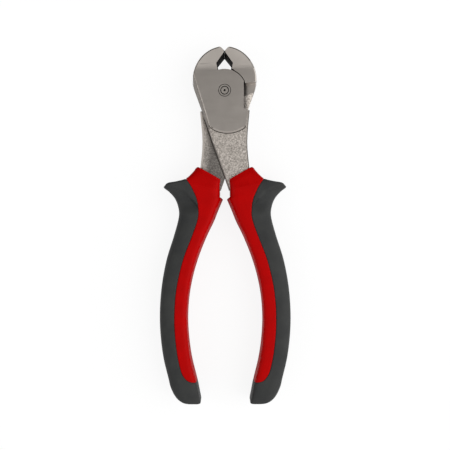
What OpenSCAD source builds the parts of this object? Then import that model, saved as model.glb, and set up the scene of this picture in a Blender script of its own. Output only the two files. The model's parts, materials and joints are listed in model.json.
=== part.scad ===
// End cutting nippers: two forged levers lapped on one rivet, each with a two-part moulded grip.
// Lengths are in millimetres. The tool lies flat with its jaws towards +Y, and the origin is under
// the middle of its box. Shapes are drawn about the pivot, with z = 0 on the tool's middle plane.
// "Rise" is a distance from the pivot towards the jaws, "drop" one towards the grip ends, and
// "half" one from the tool's centre line. The rear lever is the front one turned over.

/* [Head] */
// Radius of the round head
head_r = 14.35; // [13.6:0.05:15.6]
// Rise of the head circle's centre
head_rise = 4.9; // [4.4:0.1:5.8]
// Thickness of the two lapped cheeks together
cheek_t = 11; // [9:0.5:12.5]
// Thickness of the jaws at their tips
jaw_t = 16; // [13:0.5:20]
// Rise at which the jaw faces start to flare
flare_rise = 9.2; // [7:0.1:11]
// Length over which the flare bends in
flare_bend = 3; // [1:0.1:4]
// Rise of the cutting edges
edge_rise = 16.6; // [15.8:0.1:17.2]
// Height of the narrow land at each cutting edge
edge_land = 0.6; // [0.2:0.1:1]
// Angle of the ground bevel outside that land, from the centre line
bevel_angle = 43; // [38:1:66]
// Gap between the closed cutting edges
edge_gap = 0.12; // [0.04:0.02:0.4]
// Half width of the throat behind the edges
throat_half = 3.4; // [2.8:0.1:4]
// Rise of the throat's widest place
throat_rise = 12.1; // [11.4:0.1:13]
// Half width of the throat's foot
throat_foot = 2.7; // [2:0.1:3.2]

/* [Lap joint] */
// Radius of the lapped disc on each lever
lap_r = 9.6; // [8.8:0.1:10.2]
// Half width at which the disc is cut straight
lap_flat = 8.6; // [7.6:0.1:8.7]
// Gap between the two lapped faces
lap_gap = 0.1; // [0.04:0.02:0.3]
// Gap between the edges that swing past each other
swing_gap = 0.3; // [0.15:0.05:0.6]
// Rise of the step under each jaw, beside the disc's flat
step_rise = 3.1; // [2.4:0.1:3.6]
// Slope of that step
step_angle = 9; // [4:1:14]
// Drop at which each lapped face starts to slope away outside the other lever's disc
relief_drop = 1.8; // [1:0.1:3]
// Angle of that slope
relief_angle = 16; // [8:1:24]

/* [Rivet] */
// Radius of the rivet's shank
rivet_r = 2.2; // [1.8:0.1:2.6]
// Radius of its flush countersunk ends
rivet_head_r = 2.8; // [2.7:0.1:3.6]
// Depth of the countersinks
rivet_head_t = 0.9; // [0.5:0.1:1.6]
// Radius of the ring turned into each end
ring_r = 1.75; // [1.2:0.05:2.2]
// Width of that ring
ring_w = 0.4; // [0.2:0.05:0.6]
// Radius of the centre dimple
dimple_r = 0.5; // [0.3:0.05:0.8]
// Running clearance of the rivet in the front lever
run_gap = 0.05; // [0.02:0.01:0.1]
// Clearance of the rivet where it is set in the rear lever
seat_gap = 0.01; // [0.005:0.005:0.02]

/* [Shank] */
// Height by which the polished cheeks stand over the blasted shanks
shank_step = 0.4; // [0.2:0.1:0.8]
// Angle of the levers' straight crossing edges
edge_taper = 19; // [18:0.5:20]
// Width of the forging draft down each crossing edge
edge_draft = 1.5; // [0.8:0.1:2]
// Angle by which that draft narrows down the edge
draft_narrow = 3; // [0:0.5:4]
// Drop of the shoulder beside the disc
shoulder_drop = 7.9; // [7.4:0.1:9]
// Half width across the shanks at the shoulders
shoulder_half = 11.2; // [10.6:0.1:11.6]
// Height by which the shoulder slopes away outwards
shoulder_slope = 1; // [0.5:0.1:1.6]
// Half width across the shanks at their waist
waist_half = 10.1; // [9.6:0.1:10.6]
// Drop of that waist
waist_drop = 23; // [20:0.5:26]
// Half width across the shanks where they enter the grips
collar_half = 11; // [10.5:0.1:11.6]
// Radius of the rounded lower end of the polished cheek
cheek_r = 13.4; // [12.6:0.1:14.4]
// Drop of that rounded end
cheek_drop = 19.1; // [18:0.1:20]
// Offset of that rounded end towards the lever's own grip
cheek_x = 1.2; // [0:0.1:2]
// Thickness of the shank's far half where it starts beside the shoulder
ramp_t = 1; // [0.6:0.1:2]

/* [Tang] */
// Length of the full shank inside the grip's collar
shank_in = 4.4; // [3:0.2:6]
// Width of the tang inside the grip
tang_w = 6.6; // [5:0.2:7.4]
// Thickness of the tang
tang_t = 6; // [4:0.2:7]
// Clearance of the steel in the grip's socket
socket_gap = 0.1; // [0.05:0.05:0.3]
// Distance from the tang's end to the grip's end
tang_short = 12; // [11:0.5:20]

/* [Grip] */
// Thickness of the grips
grip_t = 16; // [15:0.5:19]
// Width of the grips at the bow
grip_w = 12.9; // [12.4:0.1:15]
// Drop of the grips' upper outer corners
grip_top = 34.6; // [33.8:0.1:35.6]
// Height by which the collar's mouth slants down inwards
collar_slant = 5.7; // [4.8:0.1:6.4]
// Width of the collar's lip outside the shank
collar_lip = 1.6; // [1:0.1:2.4]
// Half width of the gap between the two collars
collar_gap = 2.1; // [1.8:0.1:2.5]
// Drop of the grips' lower ends
grip_end = 140.8; // [136:0.2:148]
// Drop of the grips' widest place
bow_drop = 102.5; // [100:0.5:105]
// Half width to the middle of the grips there
bow_half = 23.3; // [22:0.1:25]
// Radius of the grips' bowed middle line
bow_r = 94; // [88:1:105]
// Drop at which the bow starts
neck_drop = 66; // [63:0.5:69]
// Half width across the grips' waist under the guards
neck_half = 20.9; // [20:0.1:22]
// Half width across the guard tips
guard_half = 27.8; // [26:0.1:31]
// Drop of the guard tips
guard_drop = 43.2; // [42.6:0.1:44]
// Length from the guard tips down to the waist
guard_len = 11.8; // [11:0.1:13]
// Height of the small tooth on the inner edge under each collar
tooth_h = 1.1; // [0.6:0.1:1.3]
// Half width across the colour seams at the waist
seam_half = 12.4; // [11.6:0.1:13.2]
// Wall of the core round the tang
core_wall = 1.4; // [1:0.1:1.6]
// Length over which the grips' ends are rounded off
end_len = 11; // [9:0.5:13]
// Length of the end cap that the cover closes the grip with
cap_len = 10; // [8:0.2:12]
// Gap between the core and the cover moulded on it
bond_gap = 0.05; // [0.02:0.01:0.1]

/* [Hidden] */
$fn = 96;

steel = "#968f88";
rivet_steel = "#8a847d";
red = "#b00000";
grey = "#40413f";

// Rise of the jaw tips, where the ground bevel leaves the round head
bevel = tan(bevel_angle);
bevel_in = edge_rise + edge_land - head_rise;
tip_run = bevel * edge_gap / 2 + bevel_in;
tip_room = head_r * head_r - edge_gap * edge_gap / 4 - bevel_in * bevel_in;
tip_rise = edge_rise + edge_land
    + (sqrt(tip_run * tip_run + (1 + bevel * bevel) * tip_room) - tip_run) / (1 + bevel * bevel);

// The tool rests on its thickest pieces, and its box is centred on the origin.
rest_h = max(jaw_t, grip_t) / 2;
pivot_y = (grip_end - tip_rise) / 2;

shank_t = cheek_t - 2 * shank_step;

// Spare length of a cut past the faces that it goes through
past = 1;
// Reach of a cut that takes everything on one side
far = 60;

// Smooth curve through the points p, with n steps in each stretch.
function blend(a, b, c, d, t) =
    b + (c - a) * t / 2
    + (2 * a - 5 * b + 4 * c - d) * t * t / 2
    + (3 * b - a - 3 * c + d) * t * t * t / 2;
function curve(p, n) =
    let (last = len(p) - 1)
    [for (i = [0 : last - 1], j = [0 : n - 1])
        blend(p[max(i - 1, 0)], p[i], p[i + 1], p[min(i + 2, last)], j / n),
     p[last]];

// Round bend from a to c with its corner at b.
function bend(a, b, c, n) =
    [for (i = [0 : n]) let (t = i / n) a * (1 - t) * (1 - t) + b * 2 * t * (1 - t) + c * t * t];

function backwards(p) = [for (i = [len(p) - 1 : -1 : 0]) p[i]];

// Line at distance w to the left of the line p, and the outline of a band on both sides of p.
function beside(p, w) =
    let (last = len(p) - 1)
    [for (i = [0 : last])
        let (d = p[min(i + 1, last)] - p[max(i - 1, 0)])
        p[i] + [-d.y, d.x] * w / norm(d)];
function band(p, w) = concat(beside(p, w), backwards(beside(p, -w)));

// Crossing edge: it leaves the round head, crosses the centre line and ends inside the collar.
function head_tangent(angle) = [-head_r * cos(angle), head_rise - head_r * sin(angle)];
tangent_at = head_tangent(edge_taper);
foot_drop = grip_top + collar_slant + shank_in;
foot_at = [tangent_at.x + (tangent_at.y + foot_drop) * tan(edge_taper), -foot_drop];
shank_edge = curve([[collar_half, -grip_top], [waist_half, -waist_drop],
                    [shoulder_half, -shoulder_drop - shoulder_slope]], 4);

// Middle line of the grips, which is also the tang's and, over most of it, the colour seam's.
function middle(drop) =
    [bow_half - bow_r + sqrt(bow_r * bow_r - (drop - bow_drop) * (drop - bow_drop)), -drop];
// Drops at the share t of the bow's upper part, of its lower part and of the rounded end.
function upper_drop(t) = neck_drop + (bow_drop - neck_drop) * t;
function lower_drop(t) = bow_drop + (grip_end - end_len - bow_drop) * t;
function end_drop(t) = grip_end - end_len * t;
tang_end = grip_end - tang_short;
tang_line = curve([[(foot_at.x + collar_half) / 2, -foot_drop + shank_in],
                   [seam_half - tang_w * 2 / 3, -guard_drop - guard_len * 0.42],
                   middle(neck_drop), middle(upper_drop(1 / 3)), middle(upper_drop(2 / 3)),
                   middle(bow_drop), middle((bow_drop + tang_end) / 2), middle(tang_end)], 4);

// Corners of the grip's upper end, and places at shares of the way between them: on the guard's
// upper side from the lip, on its lower side from the waist, and down the inner edge.
lip_at = [collar_half + collar_lip, -grip_top];
mouth_at = [collar_gap, -grip_top - collar_slant];
guard_tip = [guard_half, -guard_drop];
waist_at = [neck_half, -guard_drop - guard_len];
function over_guard(sx, sy) =
    lip_at + [(guard_tip.x - lip_at.x) * sx, (guard_tip.y - lip_at.y) * sy];
function under_guard(sx, sy) =
    waist_at + [(guard_tip.x - waist_at.x) * sx, (guard_tip.y - waist_at.y) * sy];
function inside(sx, sy) = [collar_gap * sx, -guard_drop - guard_len * sy];

// Rows of the grip from the collar down: inner edge, outer edge, share of the thickness, and
// squareness of the rounded section, where 2 is an ellipse. The edges of the bow's rows are moved
// outwards by shares of the width.
bow_w = grip_w / 2;
function bow_row(drop, inner, outer, share) =
    [middle(drop) + [grip_w * inner - bow_w, 0], middle(drop) + [bow_w + grip_w * outer, 0], share, 2.7];
grip_rows = [
    [mouth_at - [collar_gap * 0.14, 0], lip_at, 0.86, 4.5],
    [mouth_at - [collar_gap * 0.05, collar_slant * 0.28], over_guard(0.105, 0.256), 0.93, 4],
    [inside(1, 0.017), over_guard(0.303, 0.558), 0.97, 3.6],
    [inside(1.05, 0.119), over_guard(0.592, 0.663), 1, 3.3],
    [inside(1.05, 0.22), over_guard(0.855, 0.791), 1, 3],
    [inside(1.05, 0.305), guard_tip, 1, 2.8],
    [inside(1.05, 0.373), under_guard(0.71, 0.847), 1, 2.7],
    [inside(1, 0.475) - [tooth_h, 0], under_guard(0.435, 0.686), 1, 2.7],
    [inside(1, 0.576) - [tooth_h * 0.64, 0], under_guard(0.246, 0.534), 1, 2.7],
    [inside(0.95, 0.695), under_guard(0.087, 0.305), 1, 2.7],
    [inside(1.67, 1), waist_at, 1, 2.7],
    [inside(2.43, 1.339), under_guard(0.087, -0.339), 1, 2.7],
    bow_row(upper_drop(0), -0.078, 0.085, 1),
    bow_row(upper_drop(0.25), -0.054, 0.054, 1),
    bow_row(upper_drop(0.5), -0.027, 0.027, 1),
    bow_row(upper_drop(0.75), -0.008, 0.008, 1),
    bow_row(bow_drop, 0, 0, 1),
    bow_row(lower_drop(0.35), 0, 0, 1),
    bow_row(lower_drop(0.68), 0.008, 0.008, 1),
    bow_row(lower_drop(1), 0.016, 0.016, 1),
    bow_row(end_drop(0.69), 0.039, 0.039, 1),
    bow_row(end_drop(0.36), 0.116, 0.016, 0.97),
    bow_row(end_drop(0.16), 0.17, -0.047, 0.9),
    bow_row(end_drop(0.055), 0.225, -0.147, 0.8),
    bow_row(end_drop(0), 0.302, -0.264, 0.68)
];
// Sides of that section
section_sides = 24;
// Thickness of the thin slices that the grip is spanned between
slice_t = 0.02;

// Colour seam from the guard's root down to the inner edge above the end cap
cap_at = middle(grip_end - cap_len);
seam = concat(
    [over_guard(0.447, 0.395)],
    curve([over_guard(0.21, 0.919), [seam_half * 1.07, -guard_drop - guard_len * 0.41],
           [seam_half, -guard_drop - guard_len * 0.83], [seam_half * 1.025, -guard_drop - guard_len * 1.25],
           middle(neck_drop) - [grip_w * 0.039, 0], middle(upper_drop(0.27)) - [grip_w * 0.016, 0],
           middle(upper_drop(0.63)), middle(bow_drop), middle(lower_drop(0.46)),
           middle(grip_end - cap_len * 1.6), cap_at + cap_len * [-0.02, 0.22],
           cap_at + cap_len * [-0.26, 0.04], cap_at - [cap_len * 0.6, 0]], 3),
    [cap_at - [far, 0]]);

module set_in_place() {
    translate([0, pivot_y, rest_h])
        children();
}

// Prism of a shape drawn in the tool's plane, between the heights z0 and z1.
module between(z0, z1) {
    translate([0, 0, z0])
        linear_extrude(z1 - z0)
            children();
}

// Prism across the tool of a profile drawn with the tool's length along x and its height along y.
module across() {
    rotate([90, 0, 90])
        linear_extrude(2 * far, center = true)
            children();
}

module plate_outline() {
    polygon(concat(
        [tangent_at, foot_at, [collar_half, -grip_top - shank_in]],
        shank_edge,
        [[lap_flat, -shoulder_drop], [lap_flat, 0]]));
}

module disc_outline() {
    intersection() {
        circle(lap_r);
        translate([-far, -far])
            square([far + lap_flat, 2 * far]);
    }
}

// Left half of the head, cut back at the throat and ground to the cutting edge.
module jaw_outline() {
    notch_h = head_r - bevel_in + past;
    land_top = edge_rise + edge_land;
    difference() {
        translate([0, head_rise])
            circle(head_r);
        translate([-edge_gap / 2, -far])
            square(2 * far);
        polygon([[past, edge_rise], [-edge_gap / 2, edge_rise], [-throat_half, throat_rise],
                 [-throat_foot, lap_r - past], [past, lap_r - past]]);
        polygon([[past, land_top], [-edge_gap / 2, land_top],
                 [-edge_gap / 2 - notch_h * bevel, land_top + notch_h], [past, land_top + notch_h]]);
    }
}

// Part of the jaw that reaches the far side, clear of the other lever's disc and shoulder.
module far_jaw_outline() {
    difference() {
        jaw_outline();
        circle(lap_r + swing_gap);
        translate([-lap_flat, step_rise])
            rotate(-step_angle)
                translate([-far, -2 * far])
                    square([2 * far, 2 * far]);
    }
}

// Part of the shank that reaches the far side, clear of the other lever's crossing edge.
module far_shank_outline() {
    clear = [swing_gap / cos(edge_taper), 0];
    difference() {
        plate_outline();
        polygon([[far, far], [-tangent_at.x, tangent_at.y] + clear, [-foot_at.x, foot_at.y] + clear,
                 [-far, foot_at.y], [-far, far]]);
    }
}

module flare_profile() {
    low = cheek_t / 2;
    high = jaw_t / 2;
    slope = (high - low) / (tip_rise - flare_rise - flare_bend / 2);
    rounding = bend([flare_rise, low], [flare_rise + flare_bend / 2, low],
                    [flare_rise + flare_bend, low + slope * flare_bend / 2], 6);
    top = concat([[-far, low]], rounding, [[tip_rise, high], [tip_rise + past, high]]);
    polygon(concat(top, backwards([for (p = top) [p.x, -p.y]])));
}

module jaw() {
    intersection() {
        union() {
            between(lap_gap / 2, jaw_t / 2)
                jaw_outline();
            between(-jaw_t / 2, lap_gap / 2)
                far_jaw_outline();
        }
        across()
            flare_profile();
    }
}

// Polished cheek, which stands a little over the blasted shank and ends in a round.
module cheek() {
    between(lap_gap / 2, cheek_t / 2) {
        disc_outline();
        intersection() {
            plate_outline();
            union() {
                translate([cheek_x, cheek_r - cheek_drop])
                    circle(cheek_r);
                translate([-far, cheek_r - cheek_drop])
                    square(2 * far);
            }
        }
    }
}

module shank() {
    between(lap_gap / 2, shank_t / 2)
        plate_outline();
    intersection() {
        between(-shank_t / 2, lap_gap / 2)
            far_shank_outline();
        across()
            polygon([[0, lap_gap], [0, -ramp_t], [-shoulder_drop, -ramp_t], [-grip_top, -shank_t / 2],
                     [-far, -shank_t / 2], [-far, lap_gap]]);
    }
}

module tang_outline() {
    polygon(band(tang_line, tang_w / 2));
}

// Forging draft down the crossing edge, from the cheek's face to the lapped face
module crossing_draft() {
    h = cheek_t / 2 - lap_gap / 2;
    lean = edge_draft / h;
    taper = edge_taper - draft_narrow;
    start = head_tangent(taper);
    translate([start.x, start.y, lap_gap / 2])
        rotate(taper)
            rotate([90, 0, 0])
                translate([0, 0, -far])
                    linear_extrude(far + norm(foot_at - start))
                        polygon([[0, 0], [lean * (h + past), h + past], [-past, h + past], [-past, 0]]);
}

// Slope of the lapped face outside the other lever's disc, square to the crossing edge, down to just
// past the other lever's shoulder
module lap_relief() {
    down = shoulder_drop + shoulder_slope + past - relief_drop;
    run = down * cos(edge_taper) + (shoulder_half - lap_flat) * sin(edge_taper);
    intersection() {
        translate([-lap_flat, -relief_drop, lap_gap / 2])
            rotate(-edge_taper)
                across()
                    polygon([[0, 0], [-run, run * tan(relief_angle)], [-run, -past], [0, -past]]);
        between(-far, far)
            translate([-lap_flat - far, -far])
                square([far, 2 * far]);
    }
}

// Hole for the rivet, countersunk on the lever's outer face
module rivet_hole(gap) {
    flare = (rivet_head_r - rivet_r) * (1 + past / rivet_head_t);
    cylinder(r = rivet_r + gap, h = cheek_t, center = true);
    translate([0, 0, cheek_t / 2 - rivet_head_t])
        cylinder(r1 = rivet_r + gap, r2 = rivet_r + gap + flare, h = rivet_head_t + past);
}

module lever(hole_gap) {
    color(steel)
        difference() {
            union() {
                jaw();
                cheek();
                shank();
                between(-tang_t / 2, tang_t / 2)
                    tang_outline();
            }
            rivet_hole(hole_gap);
            crossing_draft();
            lap_relief();
        }
}

module front_lever() {
    set_in_place()
        lever(run_gap);
}

module rear_lever() {
    set_in_place()
        rotate([0, 180, 0])
            lever(seat_gap);
}

module pivot_rivet() {
    h = cheek_t / 2;
    end = [[0, h - dimple_r], [dimple_r, h], [ring_r - ring_w / 2, h], [ring_r, h - ring_w / 2],
           [ring_r + ring_w / 2, h], [rivet_head_r, h], [rivet_r, h - rivet_head_t]];
    color(rivet_steel)
        set_in_place()
            rotate_extrude()
                polygon(concat(end, backwards([for (p = end) [p.x, -p.y]])));
}

// Upright slice of the grip from its inner to its outer edge.
module grip_slice(row) {
    width = row[1] - row[0];
    turn = atan2(width.y, width.x);
    half_w = norm(width) / 2;
    half_h = row[2] * grip_t / 2;
    squared = 2 / row[3];
    rim = [for (i = [0 : section_sides - 1])
        let (a = 360 * i / section_sides)
        [half_w * sign(cos(a)) * pow(abs(cos(a)), squared),
         half_h * sign(sin(a)) * pow(abs(sin(a)), squared)]];
    translate(concat((row[0] + row[1]) / 2, 0))
        rotate([90, 0, turn])
            linear_extrude(slice_t, center = true)
                polygon(rim);
}

module grip_form() {
    for (i = [0 : len(grip_rows) - 2])
        hull() {
            grip_slice(grip_rows[i]);
            grip_slice(grip_rows[i + 1]);
        }
}

// Everything on the inner side of the colour seam, moved out by the gap given.
module core_side(gap) {
    between(-far, far)
        offset(delta = gap)
            polygon(concat(seam, [[-far, -grip_end], [-far, 0], [seam[0].x, 0]]));
}

// Steel that the grip is pushed on, with its clearance
module socket(gap) {
    between(-tang_t / 2 - gap, tang_t / 2 + gap)
        offset(delta = gap)
            tang_outline();
    between(-shank_t / 2 - gap, shank_t / 2 + gap)
        offset(delta = gap)
            plate_outline();
}

// Tongue of the core round the tang, which the cover wraps
module tongue(gap) {
    wall = socket_gap + core_wall + gap;
    between(-tang_t / 2 - wall, tang_t / 2 + wall)
        offset(r = wall, $fn = 24)
            tang_outline();
}

module grip_core() {
    color(red)
        difference() {
            intersection() {
                grip_form();
                union() {
                    core_side(0);
                    tongue(0);
                }
            }
            socket(socket_gap);
        }
}

module grip_cover() {
    color(grey)
        difference() {
            grip_form();
            core_side(bond_gap);
            tongue(bond_gap);
        }
}

module right_grip_core() {
    set_in_place()
        grip_core();
}

module right_grip_cover() {
    set_in_place()
        grip_cover();
}

module left_grip_core() {
    set_in_place()
        rotate([0, 180, 0])
            grip_core();
}

module left_grip_cover() {
    set_in_place()
        rotate([0, 180, 0])
            grip_cover();
}

front_lever();
rear_lever();
pivot_rivet();
right_grip_core();
right_grip_cover();
left_grip_core();
left_grip_cover();
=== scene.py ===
import json
import math

import bmesh
import bpy
from mathutils import Matrix, Vector


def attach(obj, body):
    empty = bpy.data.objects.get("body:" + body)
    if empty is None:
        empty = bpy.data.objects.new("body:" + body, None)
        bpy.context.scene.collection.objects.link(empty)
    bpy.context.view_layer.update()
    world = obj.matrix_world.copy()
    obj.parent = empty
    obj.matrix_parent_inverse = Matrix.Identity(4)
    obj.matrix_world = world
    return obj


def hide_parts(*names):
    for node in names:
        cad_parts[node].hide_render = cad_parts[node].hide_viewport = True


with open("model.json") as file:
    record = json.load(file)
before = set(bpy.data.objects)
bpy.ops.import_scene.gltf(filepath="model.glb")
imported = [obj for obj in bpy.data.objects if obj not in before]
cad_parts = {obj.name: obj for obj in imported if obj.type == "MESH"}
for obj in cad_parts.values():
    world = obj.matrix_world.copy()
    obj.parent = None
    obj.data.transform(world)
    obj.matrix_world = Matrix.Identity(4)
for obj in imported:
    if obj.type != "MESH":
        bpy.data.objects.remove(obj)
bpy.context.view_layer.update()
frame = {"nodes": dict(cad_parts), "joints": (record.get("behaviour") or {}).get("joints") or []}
mm = 0.001
pivot = Vector(frame["joints"][0]["pos_m"])
# The rear lever and the left grip are the front and right ones turned over about the tool's length.
turnOver = Matrix.Translation(pivot) @ Matrix.Rotation(math.pi, 4, "Y") @ Matrix.Translation(-pivot)
print("frame loaded:", len(frame["nodes"]), "nodes")


# Materials. Sizes of their patterns are in mm.

def linear(code):
    channels = [int(code[i:i + 2], 16) / 255 for i in (1, 3, 5)]
    return [c / 12.92 if c <= 0.04045 else ((c + 0.055) / 1.055) ** 2.4 for c in channels] + [1]


def addNode(tree, kind, inputs=None, **settings):
    made = tree.nodes.new("ShaderNode" + kind)
    for key, value in settings.items():
        setattr(made, key, value)
    for socket, value in (inputs or {}).items():
        if isinstance(value, bpy.types.NodeSocket):
            tree.links.new(value, made.inputs[socket])
        else:
            made.inputs[socket].default_value = value
    return made


def newMaterial(name):
    material = bpy.data.materials.new(name)
    material.use_nodes = True
    material.node_tree.nodes.clear()
    return material, material.node_tree


def objectPlace(tree):
    return addNode(tree, "TexCoord").outputs["Object"]


def noise(tree, place, size, detail, roughness=0.5):
    return addNode(tree, "TexNoise", {
        "Vector": place, "Scale": 1 / (size * mm), "Detail": detail, "Roughness": roughness}).outputs["Fac"]


def cells(tree, place, size):
    return addNode(tree, "TexVoronoi", {"Vector": place, "Scale": 1 / (size * mm)}).outputs["Distance"]


def tint(tree, value, stops):
    ramp = addNode(tree, "ValToRGB", {"Fac": value})
    elements = ramp.color_ramp.elements
    while len(elements) < len(stops):
        elements.new(0.5)
    for element, (position, colour) in zip(elements, stops):
        element.position = position
        element.color = linear(colour)
    return ramp.outputs["Color"]


# Most of a noise lies between 0.3 and 0.7.
def spread(tree, value, low, high):
    return addNode(tree, "MapRange", {
        "Value": value, "From Min": 0.3, "From Max": 0.7, "To Min": low, "To Max": high}).outputs["Result"]


def bump(tree, height, strength, depth):
    return addNode(tree, "Bump", {
        "Height": height, "Strength": strength, "Distance": depth * mm}).outputs["Normal"]


def addSurface(tree, inputs):
    shader = addNode(tree, "BsdfPrincipled", inputs)
    addNode(tree, "OutputMaterial", {"Surface": shader.outputs[0]})


# Forged carbon steel, ground on a belt and polished: a warm mid grey with faint straight belt
# lines across the tool, drawn coarser than real ones so that they show.
polish = {"lineWidth": 0.4, "lineLength": 14, "cloud": 9, "roughness": (0.28, 0.38), "bump": (0.12, 0.02),
          "tints": [(0.3, "#AFA8A1"), (0.7, "#B9B2AB")]}


def polishedSteel():
    material, tree = newMaterial("polished forged steel")
    place = objectPlace(tree)
    along, across = 1 / (polish["lineLength"] * mm), 1 / (polish["lineWidth"] * mm)
    drawn = addNode(tree, "Mapping", {"Vector": place, "Scale": (along, across, across)})
    lines = addNode(tree, "TexNoise", {
        "Vector": drawn.outputs[0], "Scale": 1, "Detail": 3, "Roughness": 0.6}).outputs["Fac"]
    addSurface(tree, {
        "Base Color": tint(tree, noise(tree, place, polish["cloud"], 2), polish["tints"]), "Metallic": 1,
        "Roughness": spread(tree, lines, *polish["roughness"]),
        "Normal": bump(tree, lines, *polish["bump"])})
    return material


# The same steel left as forged and blasted with grit: pale grey, dull and speckled with small
# facets. The speckle is drawn at about twice the grit's size so that it shows. On the shank's
# sloping far side the colour carries painted shade, darker towards the other lever and the grip,
# and a little painted light towards the outer edge and the head; that copy is also less metallic.
blast = {"grit": 0.7, "fine": 0.3, "roughness": 0.5, "bump": (0.6, 0.06),
         "tints": [(0.3, "#837D76"), (0.5, "#BDB5AD"), (0.72, "#EFE7DF")],
         "lightAt": 14.5, "darkAt": 10.4, "slant": 0.13, "lightest": 1.16, "darkest": 0.35, "dullMetal": 0.6}


def blastedSteel(name, paintsShade):
    material, tree = newMaterial(name)
    place = objectPlace(tree)
    grit = noise(tree, place, blast["grit"], 4, 0.7)
    colour = tint(tree, grit, blast["tints"])
    # Painted shade and light: the colour is scaled down towards the other lever and the grip, and up a little
    # towards the outer edge and the head.
    if paintsShade:
        spot = addNode(tree, "SeparateXYZ", {0: place})
        out = addNode(tree, "Math", {0: spot.outputs["X"]}, operation="ABSOLUTE")
        reach = addNode(tree, "Math", {
            0: spot.outputs["Y"], 1: blast["slant"], 2: out.outputs[0]}, operation="MULTIPLY_ADD")
        shade = addNode(tree, "MapRange", {
            "Value": reach.outputs[0], "From Min": blast["darkAt"] * mm, "From Max": blast["lightAt"] * mm,
            "To Min": blast["darkest"], "To Max": blast["lightest"]})
        shaded = addNode(tree, "VectorMath", {0: colour, "Scale": shade.outputs[0]}, operation="SCALE")
        colour = shaded.outputs[0]
    height = addNode(tree, "Math", {0: grit, 1: cells(tree, place, blast["fine"])}, operation="ADD")
    addSurface(tree, {
        "Base Color": colour, "Metallic": blast["dullMetal"] if paintsShade else 1,
        "Roughness": blast["roughness"], "Normal": bump(tree, height.outputs[0], *blast["bump"])})
    return material


# The jaws' inner faces keep the black scale of the hardening: dark, dull and a little uneven. The
# same black is painted shade on the straight walls beside the recess and on the rivet's ring, dimple
# and broken edge. Where the grinding only touched it, at the edges and in the grooves, it is worn to
# a brown grey.
scaleSkin = {"cloud": 1.5, "roughness": 0.8, "specular": 0.1}


def scaledSteel(name, dark, light):
    material, tree = newMaterial(name)
    cloud = noise(tree, objectPlace(tree), scaleSkin["cloud"], 3)
    addSurface(tree, {
        "Base Color": tint(tree, cloud, [(0.3, dark), (0.7, light)]), "Roughness": scaleSkin["roughness"],
        "Specular IOR Level": scaleSkin["specular"]})
    return material


# The levers' flanks keep the skin of the forging: a darker brown grey, dull and a little uneven. On
# the crossing wall beside the other lever this darker tone is also painted shade.
flank = {"cloud": 0.9, "metallic": 0.35, "roughness": 0.55, "bump": (0.4, 0.05),
         "tints": [(0.3, "#766F69"), (0.7, "#98918A")]}


def forgedFlankWithShade():
    material, tree = newMaterial("as-forged steel flank with painted shade")
    cloud = noise(tree, objectPlace(tree), flank["cloud"], 4, 0.6)
    addSurface(tree, {
        "Base Color": tint(tree, cloud, flank["tints"]), "Metallic": flank["metallic"],
        "Roughness": flank["roughness"], "Normal": bump(tree, cloud, *flank["bump"])})
    return material


# Hard ABS, moulded in a polished tool: clear red, half gloss, with a very slight waviness.
red = {"wave": 5, "grain": 0.3, "roughness": (0.46, 0.56), "bump": (0.08, 0.03), "ior": 1.53,
       "specular": 0.05, "tints": [(0.3, "#B00000"), (0.7, "#B80000")]}


def redPlastic():
    material, tree = newMaterial("moulded red ABS")
    place = objectPlace(tree)
    wave = noise(tree, place, red["wave"], 2)
    addSurface(tree, {
        "Base Color": tint(tree, wave, red["tints"]), "Roughness": spread(tree, wave, *red["roughness"]),
        "IOR": red["ior"], "Specular IOR Level": red["specular"],
        "Normal": bump(tree, noise(tree, place, red["grain"], 2), *red["bump"])})
    return material


# Soft thermoplastic rubber, moulded in a spark-eroded tool: dark grey, matt, with a fine even
# grain that is drawn a little coarser than it is.
rubber = {"grain": 0.35, "cloud": 7, "roughness": 0.62, "bump": (0.25, 0.05), "ior": 1.48,
          "specular": 0.12, "tints": [(0.3, "#363737"), (0.7, "#3E3F3E")]}


def greyRubber():
    material, tree = newMaterial("moulded grey rubber")
    place = objectPlace(tree)
    addSurface(tree, {
        "Base Color": tint(tree, noise(tree, place, rubber["cloud"], 3), rubber["tints"]),
        "Roughness": rubber["roughness"], "IOR": rubber["ior"], "Specular IOR Level": rubber["specular"],
        "Normal": bump(tree, cells(tree, place, rubber["grain"]), *rubber["bump"])})
    return material


steelFinishes = {
    "polished": polishedSteel(),
    "blasted": blastedSteel("grit-blasted forged steel", False),
    "black scale and painted shade": scaledSteel("black hardening scale and painted shade", "#0A0908", "#121010"),
    "flank": forgedFlankWithShade(),
    "blasted, painted shade": blastedSteel("blasted forged steel with painted shade", True),
    "worn scale": scaledSteel("worn hardening scale", "#443F3A", "#57514B"),
}
redFinish = redPlastic()
rubberFinish = greyRubber()
print("materials made")


# Pieces

def toLocal(point):
    return (point - pivot) / mm


def faceCentre(face):
    return toLocal(face.calc_center_median())


def addPiece(name, bm, materials, body, node, sharpAngle):
    mesh = bpy.data.meshes.new(name)
    bm.to_mesh(mesh)
    bm.free()
    for material in materials:
        mesh.materials.append(material)
    for polygon in mesh.polygons:
        polygon.use_smooth = True
    piece = bpy.data.objects.new(name, mesh)
    bpy.context.scene.collection.objects.link(piece)
    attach(piece, body)
    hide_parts(node)
    mesh.set_sharp_from_angle(angle=math.radians(sharpAngle))
    print(name, "made:", len(mesh.polygons), "faces")
    return piece


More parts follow.
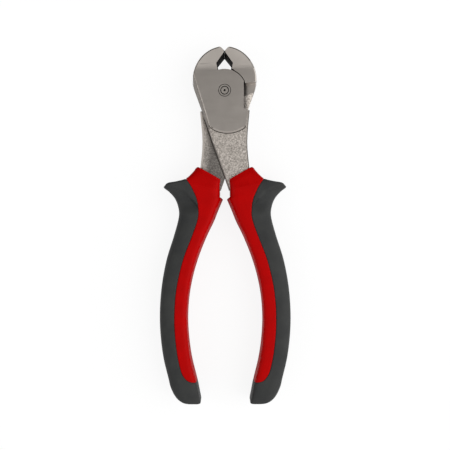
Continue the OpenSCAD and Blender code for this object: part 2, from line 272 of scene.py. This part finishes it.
# Forged levers: the frame's solids with their edges broken. Lengths are in mm from the pivot.
lever = {
    "weld": 0.05,                # points of the frame's mesh nearer than this are joined
    "flatAngle": 0.5,            # degrees under which its neighbouring faces become one
    "sharpAngle": 25,
    "edgeRound": 0.16,           # broken edges of the forging
    "cheekTop": 5.5,
    "shankTop": 5.1,
    "shankFrom": -7,             # the shank's faces lie below this
    "cheekCentre": (1.2, -5.7),  # polished cheek's rounded lower end
    "cheekRadius": 13.4,
    "cheekFloor": 4.5,           # its wall and groove lie above this height
    "cheekSlope": 0.7,           # run of the slope from the cheek down to the shank
    "cheekGroove": 0.3,          # depth of the grinding groove at its foot
    "grooveRound": 0.4,
    "grooveTop": 5.15,
    "grooveReach": (-0.2, 0.7),
    "outerFrom": 8.7,            # outer edge of the shank
    "outerSpan": (-43, -8.5),
    "outerEdge": [(-0.4, 0.75), (0, 0.5), (0.15, 0.3), (0.8, 0)],  # depth and width of its rubbed part
    "rampEdge": [(-0.4, 1.8), (0, 1.5), (0.35, 0.8), (1.3, 0)],    # the same on the sloping far side
    "rampPoint": (0, -7.9, -1),  # sloping far side of the shank
    "rampNormal": (0, 0.152, -0.988),
    "rampSpan": (-43, -7.5),
    "crossPoint": (13.9, 0.23, 0),  # ramp's inner edge, beside the other lever
    "crossNormal": (0.9455, -0.3256, 0),
    "crown": 0.5,                # drop of the crowned ramp at that edge
    "crownWidth": 4.5,
    "crownCuts": (0.15, 0.3, 0.5, 0.75, 1),
    "headCentre": (0, 4.9),
    "headRadius": 14.35,
    "rimRound": 0.55,            # ground rim of the round head
    "rimFrom": 10,
    "rimWidth": 0.6,
    "wornRimFrom": 13,
    "tipRound": 0.8,             # corner of each jaw's tip
    "tipFrom": 18,
    "tipTall": 5,
    "lapFlat": 8.6,              # the cheek's straight edge beside the other lever's recess
    "lapTop": 4.6,
    "recessDrop": 0.5,           # the recess falls off towards that edge
    "recessWidth": 3,
    "recessCuts": (0.02, 0.1, 0.6, 1.2, 1.8, 2.4, 3),
    "reliefDrop": 1.8,           # where its lower part starts to slope away, square to the crossing edge
    "reliefTurn": 19,
    "reliefCut": 0.9,
    "reliefRoll": 0.45,          # fall of that part towards the outside
    "rollFrom": 0.6,
    "rollWidth": 4,
    "rollEase": 0.8,
    "throatFrom": 9,
    "throatRound": 0.32,         # broken edge of the throat
    "edgeGap": 0.12,             # the frame's gap between the cutting edges, which touch here
    "edgeTouch": 0.01,
    "crossingRound": 0.6,        # upper edge of the crossing flank
    "rivetHole": 3,
    "rivetRoom": 3.3,            # edges nearer the pivot than this stay sharp
}
# Boxes in which the last step breaks no edges: the cheek's outer side, the crossing edge, the
# straight edge beside the recess, and the throat.
far = math.inf
keptBoxes = [
    ((8.5, far), (-far, far), (5.4, far)),
    ((-far, 2), (-45, 3), (4, far)),
    ((-9.1, -8.4), (-10, 6), (-0.2, 3)),
    ((-4.6, far), (9, 17.5), (-far, far)),
]


def pastCheek(x, y):
    cx, cy = lever["cheekCentre"]
    return math.hypot(x - cx, y - cy) - lever["cheekRadius"]


def onCheekArc(vert, spare):
    x, y, z = toLocal(vert.co)
    return y < lever["cheekCentre"][1] and z > lever["cheekFloor"] and abs(pastCheek(x, y)) < spare


def onCheekGroove(x, y, z):
    low, high = lever["grooveReach"]
    return (y < lever["cheekCentre"][1] and lever["cheekFloor"] < z < lever["grooveTop"]
            and low < pastCheek(x, y) < high)


def onOuterEdge(point):
    low, high = lever["outerSpan"]
    return point.x > lever["outerFrom"] and low < point.y < high


def belowRelief(x, y):
    turn = math.tan(math.radians(lever["reliefTurn"]))
    return -lever["reliefDrop"] - (x + lever["lapFlat"]) * turn - y


def headReach(x, y):
    cx, cy = lever["headCentre"]
    return math.hypot(x - cx, y - cy)


def onHeadRim(x, y, z):
    return y > 3 and abs(z) > 5.3 and abs(headReach(x, y) - lever["headRadius"]) < 0.1


def inThroat(x, y, normal):
    return y > lever["throatFrom"] and x < 0.2 and normal.x > 0.2 and normal.y < 0.5


def keptAsItIs(x, y, z):
    inBox = any(all(low < value < high for value, (low, high) in zip((x, y, z), box)) for box in keptBoxes)
    onHead = y > 3 and abs(z) > 4.7 and headReach(x, y) > 13
    return math.hypot(x, y) <= lever["rivetRoom"] or inBox or onHead or onOuterEdge(Vector((x, y, z)))


# The finish of a face goes by its place and by which way it faces.
def leverFinish(face):
    place, normal = faceCentre(face), face.normal
    x, y, z = place
    level = abs(normal.z)
    inHole = math.hypot(x, y) < lever["rivetHole"] and level < 0.95
    # The straight walls beside the recess are black as painted shade, so that the lapped face beside them
    # mirrors dark.
    lapWall = abs(normal.x) > 0.7 and abs(abs(x) - lever["lapFlat"]) < 0.3 and -8 < y < lever["lapTop"]
    if inHole or lapWall or (inThroat(x, y, normal) and level < 0.85):
        return "black scale and painted shade"
    if onCheekGroove(x, y, z) and normal.z < 0.97:
        return "worn scale"
    if y > lever["rimFrom"] and headReach(x, y) > lever["headRadius"] - lever["rimWidth"] and level > 0.3:
        return "worn scale" if y > lever["wornRimFrom"] and level > 0.75 else "flank"
    if onOuterEdge(place) and z > 3.5 and 0.2 < normal.z < 0.95:
        return "worn scale" if normal.z < 0.6 else "flank"
    if normal.x < -0.3 and 0.3 < normal.z < 0.97 and y < lever["lapTop"] and z > lever["cheekFloor"]:
        return "flank"
    if normal.z > 0.9 and y < lever["shankFrom"] and z < lever["cheekTop"] - 0.1:
        return "blasted"
    if normal.z < -0.7 and z > 0 and x < -lever["lapFlat"] and belowRelief(x, y) > 0:
        return "blasted"
    # The shank's sloping far side gets the blasted steel with painted shade.
    if normal.z < -0.7 and y < -8 and z < -0.2 and not onOuterEdge(place + Vector((-1.2, 0, 0))):
        return "blasted, painted shade"
    # Side walls keep the forging skin; on the crossing wall beside the other lever that darker finish is
    # painted shade.
    if level < 0.5 and (y < lever["shankFrom"] or (normal.x < -0.6 and normal.y < -0.2)):
        return "flank"
    return "polished"


def cutAcross(bm, point, normal, faces):
    parts = dict.fromkeys(part for face in faces for part in (face, *face.edges, *face.verts))
    bmesh.ops.bisect_plane(bm, geom=list(parts), plane_co=pivot + Vector(point) * mm,
                           plane_no=normal, dist=0.001 * mm)


def roundEdges(bm, edges, offset, segments):
    made = bmesh.ops.bevel(bm, geom=edges, offset=offset * mm, offset_type="OFFSET", segments=segments,
                           profile=0.5, affect="EDGES", clamp_overlap=False, material=-1)
    bm.normal_update()
    return made


def sharpEdges(bm, angle, chosen):
    return [edge for edge in bm.edges if edge.calc_face_angle(0) > angle
            and all(chosen(*toLocal(v.co)) for v in edge.verts)]


# How far an outer edge of the shank is rubbed back at a depth under its face.
def rubbedBack(steps, depth):
    for (d0, w0), (d1, w1) in zip(steps, steps[1:]):
        if depth <= d1 + 0.001:
            return w0 + (w1 - w0) * max(0, depth - d0) / (d1 - d0)
    return 0


def rubOuterEdges(bm):
    ramp, slope = Vector(lever["rampPoint"]), Vector(lever["rampNormal"])
    cx, cy = lever["cheekCentre"]

    def walls():
        return [f for f in bm.faces if onOuterEdge(faceCentre(f)) and f.normal.x > 0.7]
    for depth, _ in lever["outerEdge"][2:]:
        cutAcross(bm, (0, 0, lever["shankTop"] - depth), (0, 0, 1), walls())
    for depth, _ in lever["rampEdge"][2:]:
        cutAcross(bm, ramp - slope * depth, slope, walls())
    for vert in {v for f in walls() for v in f.verts}:
        place = toLocal(vert.co)
        width = max(rubbedBack(lever["outerEdge"], lever["shankTop"] - place.z),
                    rubbedBack(lever["rampEdge"], (ramp - place).dot(slope)))
        arcEnd = onCheekArc(vert, 0.03) and place.z > lever["shankTop"] - 0.01
        place.x -= width
        if arcEnd:
            place.y = cy - math.sqrt(lever["cheekRadius"] ** 2 - (place.x - cx) ** 2)
        vert.co = pivot + place * mm
    bm.normal_update()


# The step below the polished cheek becomes a slope with a groove at its foot.
def grindCheek(bm):
    centre = pivot + Vector((*lever["cheekCentre"], 0)) * mm
    ledge = lever["cheekTop"] - 0.1
    seams = [edge for edge in bm.edges if all(onCheekArc(v, 0.03) for v in edge.verts)
             and all(abs(f.normal.z) < 0.1 for f in edge.link_faces) and edge.calc_face_angle(1) < 0.04]
    bmesh.ops.dissolve_edges(bm, edges=seams)
    foot = [edge for edge in bm.edges if all(
        onCheekArc(v, 0.03) and toLocal(v.co).z < ledge for v in edge.verts)]
    for vert in bm.verts:
        if onCheekArc(vert, 0.03) and toLocal(vert.co).z > ledge:
            inward = (centre - vert.co).to_2d().normalized() * lever["cheekSlope"] * mm
            vert.co.x += inward.x
            vert.co.y += inward.y
    ends = [v.co.x for edge in foot for v in edge.verts]
    foot = [edge for edge in foot if all(min(ends) < v.co.x < max(ends) for v in edge.verts)]
    made = roundEdges(bm, foot, lever["grooveRound"], 2)
    for vert in made["verts"]:
        if onCheekArc(vert, 0.2):
            vert.co.z -= lever["cheekGroove"] * mm
    bm.normal_update()


# The shank's sloping far side is crowned: it rounds off towards the other lever.
def crownRamp(bm):
    ramp, slope = Vector(lever["rampPoint"]), Vector(lever["rampNormal"])
    cross, inside = Vector(lever["crossPoint"]), Vector(lever["crossNormal"])
    low, high = lever["rampSpan"]
    width = lever["crownWidth"]

    def onRamp(point):
        return abs((point - ramp).dot(slope)) < 0.02 and low < point.y < high
    for step in lever["crownCuts"]:
        faces = [f for f in bm.faces if abs(f.normal.dot(slope)) > 0.99 and onRamp(faceCentre(f))]
        cutAcross(bm, cross + inside * width * step, inside, faces)
    for vert in bm.verts:
        place = toLocal(vert.co)
        if onRamp(place):
            away = max(0, 1 - (place - cross).dot(inside) / width)
            vert.co.z += lever["crown"] * away * away * mm
    bm.normal_update()


# The lapped face that shows beside the other lever's cheek falls off towards it, and rolls off
# outwards below the relief.
def crownRecess(bm):
    edge = -lever["lapFlat"]
    turn = math.radians(lever["reliefTurn"])

    def lapped():
        return [f for f in bm.faces if f.normal.z < -0.9 and -0.1 < faceCentre(f).z < 2.6
                and faceCentre(f).y > -12 and any(toLocal(v.co).x < edge - 0.1 for v in f.verts)]
    for step in lever["recessCuts"]:
        cutAcross(bm, (edge - step, 0, 0), (1, 0, 0), lapped())
    cutAcross(bm, (edge, -lever["reliefDrop"] - lever["reliefCut"], 0), (math.sin(turn), math.cos(turn), 0),
              lapped())
    for vert in {v for f in lapped() for v in f.verts}:
        x, y, z = toLocal(vert.co)
        out = edge - x
        if out > 0.05:
            fall = lever["recessDrop"] * max(0, 1 - out / lever["recessWidth"]) ** 2
            ease = min(1, max(0, belowRelief(x, y)) / lever["rollEase"])
            roll = lever["reliefRoll"] * ease * max(0, out - lever["rollFrom"]) ** 2 / lever["rollWidth"] ** 2
            vert.co.z += (fall + roll) * mm
    bm.normal_update()


def closeCuttingEdges(bm):
    for vert in bm.verts:
        place = toLocal(vert.co)
        if place.y > lever["throatFrom"] and abs(place.x + lever["edgeGap"] / 2) < 0.02:
            vert.co.x = pivot.x - lever["edgeTouch"] / 2 * mm


def breakEdges(bm):
    throat = [edge for edge in bm.edges if any(abs(f.normal.z) > 0.85 for f in edge.link_faces) and any(
        abs(f.normal.z) < 0.5 and inThroat(*faceCentre(f).to_2d(), f.normal) for f in edge.link_faces)]
    roundEdges(bm, throat, lever["throatRound"], 1)
    tips = [edge for edge in sharpEdges(bm, 0.3, lambda x, y, z: y > lever["tipFrom"] and x < -1)
            if abs(edge.verts[0].co.z - edge.verts[1].co.z) > lever["tipTall"] * mm]
    roundEdges(bm, tips, lever["tipRound"], 3)
    roundEdges(bm, sharpEdges(bm, 0.7, onHeadRim), lever["rimRound"], 2)
    crossing = [edge for edge in bm.edges if any(f.normal.z > 0.95 for f in edge.link_faces) and any(
        f.normal.x < -0.7 and -0.45 < f.normal.y < -0.2 for f in edge.link_faces)
        and all(toLocal(v.co).to_2d().length > lever["rivetRoom"] for v in edge.verts)]
    roundEdges(bm, crossing, lever["crossingRound"], 2)
    rest = [edge for edge in sharpEdges(bm, 0.5, lambda x, y, z: not keptAsItIs(x, y, z))
            if not any(onCheekArc(v, 1.2) for v in edge.verts)]
    roundEdges(bm, rest, lever["edgeRound"], 2)


def forgedLever(name, node, body, turned):
    bm = bmesh.new()
    bm.from_mesh(frame["nodes"][node].data)
    bmesh.ops.remove_doubles(bm, verts=bm.verts, dist=lever["weld"] * mm)
    if turned:
        bmesh.ops.transform(bm, matrix=turnOver, verts=bm.verts)
    bmesh.ops.dissolve_limit(bm, angle_limit=math.radians(lever["flatAngle"]), verts=bm.verts, edges=bm.edges)
    bm.normal_update()
    rubOuterEdges(bm)
    grindCheek(bm)
    crownRamp(bm)
    crownRecess(bm)
    closeCuttingEdges(bm)
    breakEdges(bm)
    finishOrder = list(steelFinishes)
    for face in bm.faces:
        face.material_index = finishOrder.index(leverFinish(face))
    if turned:
        bmesh.ops.transform(bm, matrix=turnOver, verts=bm.verts)
    piece = addPiece(name, bm, steelFinishes.values(), body, node, lever["sharpAngle"])
    even = piece.modifiers.new("even normals", "WEIGHTED_NORMAL")
    even.keep_sharp = True


forgedLever("forged_front_lever", "front_lever", "front_half", False)
forgedLever("forged_rear_lever", "rear_lever", "rear_half", True)


# Rivet: a turned shank with flush countersunk ends. The ring, the centre dimple and the broken
# edge are coloured black as painted shade.
rivet = {"shank": 2.2, "head": 2.8, "headDepth": 0.9, "half": 5.5, "edge": 0.22, "edgeRun": 0.08,
         "ring": 1.75, "ringHalf": 0.19, "ringDepth": 0.3, "dimple": 0.5, "dimpleDepth": 0.5,
         "steps": 64, "sharpAngle": 25}


def turnedRivet():
    top = rivet["half"]
    profile = [(0, top - rivet["dimpleDepth"]), (rivet["dimple"] * 0.5, top - rivet["dimpleDepth"] * 0.8),
               (rivet["dimple"], top), (rivet["ring"] - rivet["ringHalf"], top),
               (rivet["ring"], top - rivet["ringDepth"]), (rivet["ring"] + rivet["ringHalf"], top),
               (rivet["head"] - rivet["edge"], top), (rivet["head"] - rivet["edgeRun"], top - rivet["edge"]),
               (rivet["shank"], top - rivet["headDepth"])]
    profile += [(r, -z) for r, z in reversed(profile)]
    bm = bmesh.new()
    verts = [bm.verts.new(pivot + Vector((r, 0, z)) * mm) for r, z in profile]
    edges = [bm.edges.new(pair) for pair in zip(verts, verts[1:])]
    bmesh.ops.spin(bm, geom=verts + edges, cent=pivot, axis=(0, 0, 1), angle=2 * math.pi,
                   steps=rivet["steps"], use_merge=True)
    bmesh.ops.remove_doubles(bm, verts=bm.verts, dist=0.002 * mm)
    bmesh.ops.recalc_face_normals(bm, faces=bm.faces)
    for face in bm.faces:
        face.material_index = 0 if abs(face.normal.z) > 0.95 else 1
    finishes = [steelFinishes["polished"], steelFinishes["black scale and painted shade"]]
    addPiece("turned_rivet", bm, finishes, "rear_half", "pivot_rivet", rivet["sharpAngle"])


turnedRivet()


# Grips: rings of a rounded section from the collar's mouth down to the end, split along the
# colour seam into a red core and a grey cover. Lengths are in mm from the pivot.
grip = {
    "thickness": 16,
    "width": 12.9,
    "bowDrop": 102.5,
    "bowHalf": 23.3,
    "bowRadius": 94,
    "bowSquare": 3,             # squareness of the outer side along the bow
    "innerSquare": 7,           # squareness of the inner side, which has a flat top
    "ringStep": 0.2,            # share of the way from one row to the next
    "trackSteps": 8,            # points of the seam's track from one seam point to the next
    "wallGap": 0.03,            # half of the bond line between core and cover
    "crease": [(26.6, -42.8), (21.5, -43.8), (18.0, -45.4), (15.6, -48.0)],
    "creaseDepth": 1.5,         # the thumb rest under the crease across the guard
    "restStart": (-0.1, 0.8),   # distance below the crease over which the rest drops
    "restEnd": (2.5, 8),        # and over which it rises again
    "creaseGroove": 0.5,        # the crease itself
    "creaseWidth": 0.6,
    "seamDepth": 0.35,          # rounded groove along the seam
    "partingRidge": 0.1,        # moulding line on the inner and outer edges
    "sharpAngle": 50,
}


def bowMiddle(drop):
    r, d = grip["bowRadius"], drop - grip["bowDrop"]
    return Vector((grip["bowHalf"] - r + math.sqrt(r * r - d * d), -drop))


def bowRow(drop, inner, outer, share, draft):
    half = grip["width"] / 2
    middle = bowMiddle(drop)
    innerEdge, outerEdge = middle + Vector((inner - half, 0)), middle + Vector((outer + half, 0))
    return [innerEdge, outerEdge, share, grip["bowSquare"], draft]


# Inner edge, outer edge, share of the thickness, squareness of the outer side, draft of the inner wall
gripRows = [[Vector(inner), Vector(outer), *rest] for inner, outer, *rest in [
    ((2.3, -39.8), (11.2, -34.8), 0.8, 4.5, 0),
    ((1.9, -40.1), (12.3, -34.2), 0.84, 4.5, 0),
    ((1.9, -40.8), (13.2, -34.7), 0.87, 4.5, 0),
    ((2.0, -41.9), (14.4, -36.4), 0.93, 5.5, 0.1),
    ((2.1, -43.4), (17.5, -39.4), 0.97, 8, 0.1),
    ((2.2, -44.6), (21.7, -40.7), 1, 10, 0.1),
    ((2.2, -45.6), (25.6, -41.4), 1, 10, 0.1),
    ((2.2, -46.5), (27.1, -42.6), 1, 8, 0.1),
    ((2.2, -47.1), (27.7, -43.5), 1, 6, 0.1),
    ((2.2, -47.7), (25.8, -45.0), 1, 3.8, 0.1),
    ((1.0, -48.8), (23.9, -46.9), 1, 3.4, 1.3),
    ((1.4, -50.0), (22.6, -48.7), 1, 3, 1.3),
    ((2.0, -51.4), (21.5, -51.4), 1, 3, 1.2),
    ((3.5, -55.0), (20.9, -55.0), 1, 3, 1.1),
    ((5.1, -59.0), (21.5, -59.0), 1, 3, 1),
]]
# Drop, moves of the inner and outer edges, share of the thickness, draft
gripRows += [bowRow(*row) for row in [
    (66, -1, 1.1, 1, 0.9), (75, -0.7, 0.7, 1, 0.7), (84, -0.35, 0.35, 1, 0.45), (93, -0.1, 0.1, 1, 0.3),
    (102.5, 0, 0, 1, 0.2), (112, 0, 0, 1, 0.2), (121, 0.1, 0.1, 1, 0.2), (129.8, 0.2, 0.2, 1, 0.2),
    (133.2, 0.5, 0.5, 1, 0.2), (136.8, 1.2, 0.2, 0.98, 0.1), (139, 1.7, -0.6, 0.93, 0),
    (140.3, 2.1, -1.9, 0.84, 0), (140.75, 2.9, -3.4, 0.72, 0),
]]
# The colour seam from the guard's root, along the bow and across to the inner edge above the end cap
seamPoints = [Vector(p) for p in [
    (19.1, -38.0), (15.5, -42.5), (12.9, -48.0), (11.9, -53.0), (12.1, -58.0)]]
seamPoints += [bowMiddle(drop) + Vector(move) for drop, move in [
    (66, (-1.1, 0)), (76, (-0.8, 0)), (89, (-0.6, 0)), (102.5, (-0.6, 0)), (115, (-0.6, 0)),
    (124.8, (-0.6, 0)), (130.8, (-0.8, 2.2)), (130.8, (-3.0, 0.5)), (130.8, (-6.5, 0))]]


def smooth(a, b, c, d, t):
    return (b + (c - a) * (t / 2) + (a * 2 - b * 5 + c * 4 - d) * (t * t / 2)
            + (b * 3 - a - c * 3 + d) * (t ** 3 / 2))


def smoothAt(values, t):
    last = len(values) - 1
    i = min(int(t), last - 1)
    return smooth(values[max(i - 1, 0)], values[i], values[i + 1], values[min(i + 2, last)], t - i)


def rowAt(t):
    return [smoothAt(column, t) for column in zip(*gripRows)]


def pastRow(t, point):
    inner, outer, *_ = rowAt(t)
    across, out = outer - inner, point - inner
    return across.x * out.y - across.y * out.x


# The row on which a point lies, found by halving.
def stationOf(point):
    low, high = 0, len(gripRows) - 1
    for _ in range(40):
        t = (low + high) / 2
        if pastRow(t, point) < 0:
            low = t
        else:
            high = t
    return low


seamTrack = []
for k in range((len(seamPoints) - 1) * grip["trackSteps"] + 1):
    point = smoothAt(seamPoints, k / grip["trackSteps"])
    t = stationOf(point)
    inner, outer, *_ = rowAt(t)
    across = outer - inner
    seamTrack.append((t, (point - inner).dot(across) / across.length_squared))


# The seam's place across a row: 0 at the inner edge, 1 at the outer edge.
def seamShare(t):
    if t <= seamTrack[0][0]:
        return 1
    for (t0, s0), (t1, s1) in zip(seamTrack, seamTrack[1:]):
        if t0 <= t <= t1:
            return min(1, max(0, s0 + (s1 - s0) * (t - t0) / max(t1 - t0, 1e-9)))
    return 0


def sectionPoint(halfWidth, halfHeight, squareAhead, squareBehind, angle):
    c, s = math.cos(angle), math.sin(angle)
    power = 2 / (squareAhead if c > 0 else squareBehind)
    return Vector((math.copysign(abs(c) ** power, c) * halfWidth, s ** power * halfHeight))


# Points of one side of the section from the seam's upper end round to its lower end, at the
# same count in every ring, with the groove at the seam and the ridge at mid height.
seamSteps = [(0, 1), (0.1, 0.45), (0.25, 0.15), (0.5, 0)]
ridgeSteps = [(0.45, 0), (0.22, 0.3), (0, 1)]
evenSteps = 32
denseSteps = 90
fullSide = 4  # mm of the section's side under which the groove and the ridge shrink with it


def sidePoints(halfWidth, halfHeight, square, share, towards):
    ahead, behind = (square, grip["innerSquare"]) if towards > 0 else (grip["innerSquare"], square)
    x = (2 * share - 1) * towards
    start = math.acos(math.copysign(min(1, abs(x)) ** ((ahead if x > 0 else behind) / 2), x))
    dense = [sectionPoint(halfWidth, halfHeight, ahead, behind, start * (1 - k / denseSteps))
             for k in range(denseSteps + 1)]
    lengths = [0]
    for a, b in zip(dense, dense[1:]):
        lengths.append(lengths[-1] + (b - a).length)
    total = lengths[-1]
    scale = min(1, total / fullSide)
    groove = grip["seamDepth"] * scale * min(1, 12 * share * (1 - share))
    marks = [(d * scale, -depth * groove) for d, depth in seamSteps]
    first, last = marks[-1][0], total - ridgeSteps[0][0] * scale
    marks += [(first + (last - first) * k / (evenSteps + 1), 0) for k in range(1, evenSteps + 1)]
    marks += [(total - d * scale, rise * grip["partingRidge"] * scale) for d, rise in ridgeSteps]
    points, k = [], 0
    for mark, rise in marks:
        while k < denseSteps - 1 and lengths[k + 1] < mark:
            k += 1
        a, b = dense[k], dense[k + 1]
        along = (b - a).normalized()
        spot = a + (b - a) * ((mark - lengths[k]) / max(lengths[k + 1] - lengths[k], 1e-9))
        out = Vector((-along.y, along.x))
        if along.x * spot.y <= along.y * spot.x:
            out = -out
        points.append(spot + out * rise)
    points += [Vector((p.x, -p.y)) for p in reversed(points[:-1])]
    return [Vector((p.x * towards, p.y)) for p in points]


def easeIn(value, low, high):
    t = min(1, max(0, (value - low) / (high - low)))
    return t * t * (3 - 2 * t)


# Depth of the thumb rest: it drops below the crease and rises again towards the waist.
def creaseDip(point, towards):
    if towards < 0:
        return 0
    line = [Vector(p) for p in grip["crease"]]
    near, below = 1e9, 0
    for a, b in zip(line, line[1:]):
        along = b - a
        t = min(1, max(0, (point - a).dot(along) / along.length_squared))
        off = point - (a + along * t)
        if off.length < near:
            near, below = off.length, along.x * off.y - along.y * off.x
    distance = math.copysign(near, below)
    groove = grip["creaseGroove"] * (1 - easeIn(near, 0, grip["creaseWidth"]))
    rest = easeIn(distance, *grip["restStart"]) * (1 - easeIn(distance, *grip["restEnd"]))
    return groove + grip["creaseDepth"] * rest


def gripRing(bm, t, towards):
    inner, outer, thick, square, draft = rowAt(t)
    across, middle = outer - inner, (inner + outer) / 2
    side = across.normalized()
    halfWidth = across.length / 2 - grip["partingRidge"]
    fullHeight = grip["thickness"] / 2
    halfHeight = min(thick, 1) * fullHeight
    share = min(0.999, max(0.001, seamShare(t) + towards * grip["wallGap"] / across.length))
    points = sidePoints(halfWidth, halfHeight, square, share, towards)
    ring = bmesh.ops.create_circle(bm, cap_ends=False, segments=len(points), radius=mm)["verts"]
    for vert, point in zip(ring, points):
        inset = draft * max(0, -point.x / halfWidth) * abs(point.y) / halfHeight
        flat = middle + side * (point.x + inset)
        height = point.y * (1 - creaseDip(flat, towards) / fullHeight)
        vert.co = pivot + Vector((flat.x, flat.y, height)) * mm
    return ring


# The core lies towards the inner edge, at -1, and the cover towards the outer edge, at 1.
def moulding(name, node, body, finish, towards, turned):
    count = len(gripRows) - 1
    steps = round(count / grip["ringStep"])
    stations = sorted({k * count / steps for k in range(steps + 1)} | {t for t, s in seamTrack if 0 < s < 1})
    kept = [t for t in stations if (seamShare(t) > 0 if towards < 0 else seamShare(t) < 1)]
    bm = bmesh.new()
    rings = [gripRing(bm, t, towards) for t in kept]
    loops = [[bm.edges.get((a, b)) for a, b in zip(ring, ring[1:] + ring[:1])] for ring in rings]
    for upper, lower in zip(loops, loops[1:]):
        bmesh.ops.bridge_loops(bm, edges=upper + lower)
    for loop in (loops[0], loops[-1]):
        bmesh.ops.contextual_create(bm, geom=loop)
    bmesh.ops.recalc_face_normals(bm, faces=bm.faces)
    if turned:
        bmesh.ops.transform(bm, matrix=turnOver, verts=bm.verts)
    addPiece(name, bm, [finish], body, node, grip["sharpAngle"])


for side, body, turned in (("right", "front_half", False), ("left", "rear_half", True)):
    moulding(side + "_red_core", side + "_grip_core", body, redFinish, -1, turned)
    moulding(side + "_rubber_cover", side + "_grip_cover", body, rubberFinish, 1, turned)


# Floor, lights and camera. Lengths are in metres.
studio = {
    "floorSize": 3,
    "floorColour": "#6E6E6E",
    "floorGlow": 0.87,          # lifts the floor to white for the eye and in reflections
    "lamps": {                  # place, size and watts
        "right softbox": ((0.6, 0, 0.36), (0.8, 1.2), 4.4),
        "left strip": ((-0.6, 0, 0.36), (0.14, 0.8), 0.9),
    },
    "darkSide": (-0.3, 1, 0),   # the room is darker towards the jaws and a little to the left
    "darkSpan": (-0.25, 0.5),
    "frontLight": 0.79,
    "backLight": 0.2,
    "camera": (0, 0.0004, 0.354),
    "cameraTurn": -0.15,
    "viewAngle": 33.0,
}


def whiteFloor():
    bm = bmesh.new()
    bmesh.ops.create_grid(bm, x_segments=1, y_segments=1, size=studio["floorSize"] / 2)
    mesh = bpy.data.meshes.new("floor")
    bm.to_mesh(mesh)
    bm.free()
    material, tree = newMaterial("white paper")
    path = addNode(tree, "LightPath")
    seen = addNode(tree, "Math", {
        0: path.outputs["Is Camera Ray"], 1: path.outputs["Is Glossy Ray"]}, operation="MAXIMUM")
    seenToo = addNode(tree, "Math", {
        0: seen.outputs[0], 1: path.outputs["Is Transmission Ray"]}, operation="MAXIMUM")
    glow = addNode(tree, "Math", {0: seenToo.outputs[0], 1: studio["floorGlow"]}, operation="MULTIPLY")
    addSurface(tree, {
        "Base Color": linear(studio["floorColour"]), "Roughness": 0.9, "Specular IOR Level": 0.1,
        "Emission Color": (1, 1, 1, 1), "Emission Strength": glow.outputs[0]})
    mesh.materials.append(material)
    floor = bpy.data.objects.new("floor", mesh)
    bpy.context.scene.collection.objects.link(floor)


def softLight(name, place, size, watts):
    data = bpy.data.lights.new(name, "AREA")
    data.shape = "RECTANGLE"
    data.size, data.size_y = size
    data.energy = watts
    lamp = bpy.data.objects.new(name, data)
    lamp.location = place
    lamp.rotation_euler = (-Vector(place)).to_track_quat("-Z", "Y").to_euler()
    bpy.context.scene.collection.objects.link(lamp)


def studioRoom():
    room = bpy.data.worlds.new("studio")
    room.use_nodes = True
    tree = room.node_tree
    heading = addNode(tree, "VectorMath", {
        0: addNode(tree, "TexCoord").outputs["Generated"], 1: studio["darkSide"]}, operation="DOT_PRODUCT")
    darkFrom, darkTo = studio["darkSpan"]
    level = addNode(tree, "MapRange", {
        "Value": heading.outputs["Value"], "From Min": darkFrom, "From Max": darkTo,
        "To Min": studio["frontLight"], "To Max": studio["backLight"]}, interpolation_type="SMOOTHSTEP")
    tree.links.new(level.outputs["Result"], tree.nodes["Background"].inputs["Strength"])
    tree.nodes["Background"].inputs["Color"].default_value = (1, 1, 1, 1)
    return room


whiteFloor()
for lampName, settings in studio["lamps"].items():
    softLight(lampName, *settings)
scene = bpy.context.scene
scene.world = studioRoom()
scene.view_settings.view_transform = "Standard"

lens = bpy.data.cameras.new("camera")
lens.sensor_width = 36
lens.lens = lens.sensor_width / 2 / math.tan(math.radians(studio["viewAngle"] / 2))
camera = bpy.data.objects.new("camera", lens)
camera.location = studio["camera"]
camera.rotation_euler = (0, 0, math.radians(studio["cameraTurn"]))
scene.collection.objects.link(camera)
scene.camera = camera
print("stage set")
